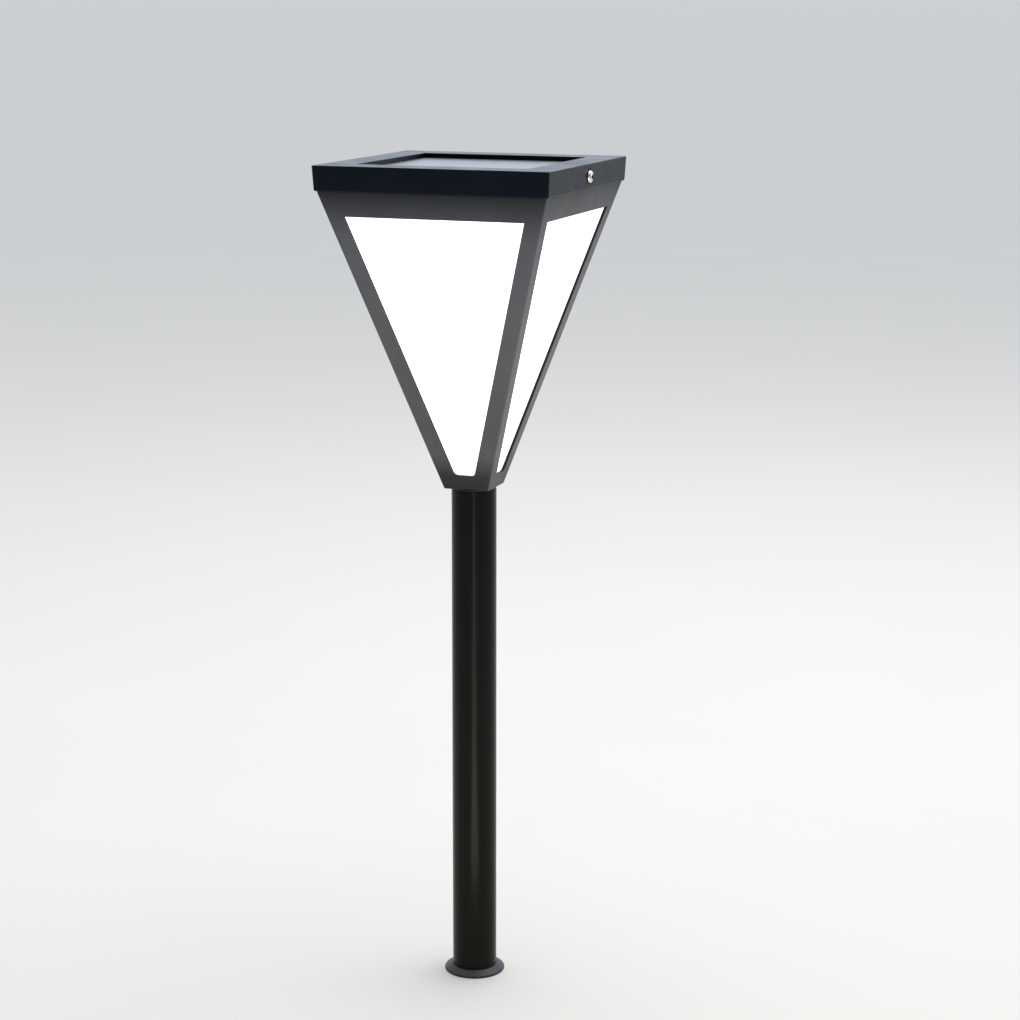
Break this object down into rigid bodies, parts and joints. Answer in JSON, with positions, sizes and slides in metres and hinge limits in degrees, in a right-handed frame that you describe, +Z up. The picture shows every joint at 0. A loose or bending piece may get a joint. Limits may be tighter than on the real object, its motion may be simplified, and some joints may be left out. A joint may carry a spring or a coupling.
{
  "type": "solar garden light",
  "caption": "Square solar lid on an inverted-pyramid lantern with four lit opal panels, on a round tube with a finned ground spike.",
  "frame": {"origin": "centre of the pole at ground level, where the ground collar's underside rests on the soil", "axes": "+Z up along the pole, towards the lid; -Y is the front; +X is the side with a screw in the lid, and -X has the other one"},
  "size_m": [0.2052, 0.2, 0.875],
  "materials": {
    "lid_plastic": "satin black ABS",
    "panel_laminate": "dark cells under clear resin",
    "bond_tape": "foam tape",
    "seal_rubber": "soft grey silicone",
    "tray_plastic": "white ABS",
    "zinc_steel": "zinc plated",
    "bright_steel": "nickel plated",
    "washer_rubber": "black rubber",
    "led_board_white": "white solder mask",
    "led_phosphor": "lit phosphor",
    "board_green": "green solder mask",
    "cell_sleeve": "blue shrink sleeve",
    "holder_plastic": "black polypropylene",
    "contact_nickel": "nickel",
    "switch_plastic": "black nylon",
    "button_plastic": "red plastic",
    "lead_red": "PVC insulation",
    "lead_black": "PVC insulation",
    "lead_white": "PVC insulation",
    "frame_plastic": "satin black ABS",
    "diffuser_opal": "lit opal sheet",
    "spigot_plastic": "black nylon",
    "tube_paint": "gloss black-brown coat",
    "spike_plastic": "black ABS"
  },
  "bodies": {
    "spike": {"ground_spike": "spike_plastic"},
    "pole": {"pole_tube": "tube_paint"},
    "spigot": {"pole_spigot": "spigot_plastic", "spigot_screw": "zinc_steel", "spigot_washer": "zinc_steel"},
    "lantern": {"lantern_frame": "frame_plastic", "diffuser_front": "diffuser_opal", "diffuser_right": "diffuser_opal", "diffuser_back": "diffuser_opal", "diffuser_left": "diffuser_opal"},
    "lid": {"lid_cover": "lid_plastic", "solar_panel": "panel_laminate", "panel_bond": "bond_tape", "tray_seal": "seal_rubber", "lid_tray": "tray_plastic", "tray_screw_1": "zinc_steel", "tray_screw_2": "zinc_steel", "tray_screw_3": "zinc_steel", "tray_screw_4": "zinc_steel", "lid_screw_right": "bright_steel", "lid_screw_left": "bright_steel", "screw_washer_right": "washer_rubber", "screw_washer_left": "washer_rubber", "lid_nut_right": "zinc_steel", "lid_nut_left": "zinc_steel", "led_board": "led_board_white", "led_chip_1": "led_phosphor", "led_chip_2": "led_phosphor", "led_chip_3": "led_phosphor", "led_chip_4": "led_phosphor", "led_chip_5": "led_phosphor", "led_chip_6": "led_phosphor", "led_screw_1": "zinc_steel", "led_screw_2": "zinc_steel", "control_board": "board_green", "board_screw_1": "zinc_steel", "board_screw_2": "zinc_steel", "battery_cell": "cell_sleeve", "battery_holder": "holder_plastic", "holder_tape": "bond_tape", "contact_plus": "contact_nickel", "contact_minus": "contact_nickel", "contact_spring": "contact_nickel", "switch_body": "switch_plastic", "switch_nut": "switch_plastic", "panel_lead": "lead_red", "battery_lead": "lead_red", "switch_lead": "lead_black", "led_lead": "lead_white"},
    "button": {"switch_button": "button_plastic"}
  },
  "joints": [
    {"name": "pole_lift", "type": "slide", "parent": "spike", "child": "pole", "axis": [0, 0, 1], "range_m": [0, 0.05]},
    {"name": "head_lift", "type": "slide", "parent": "pole", "child": "spigot", "axis": [0, 0, 1], "range_m": [0, 0.055]},
    {"name": "head_turn", "type": "hinge", "parent": "spigot", "child": "lantern", "pos_m": [0, 0, 0.4332], "axis": [0, 0, 1], "continuous": true},
    {"name": "lid_lift", "type": "slide", "parent": "lantern", "child": "lid", "axis": [0, 0, 1], "range_m": [0, 0.06]},
    {"name": "switch_press", "type": "slide", "parent": "lid", "child": "button", "axis": [0, 0, 1], "range_m": [0, 0.0015], "stiffness_N_per_m": 400}
  ]
}
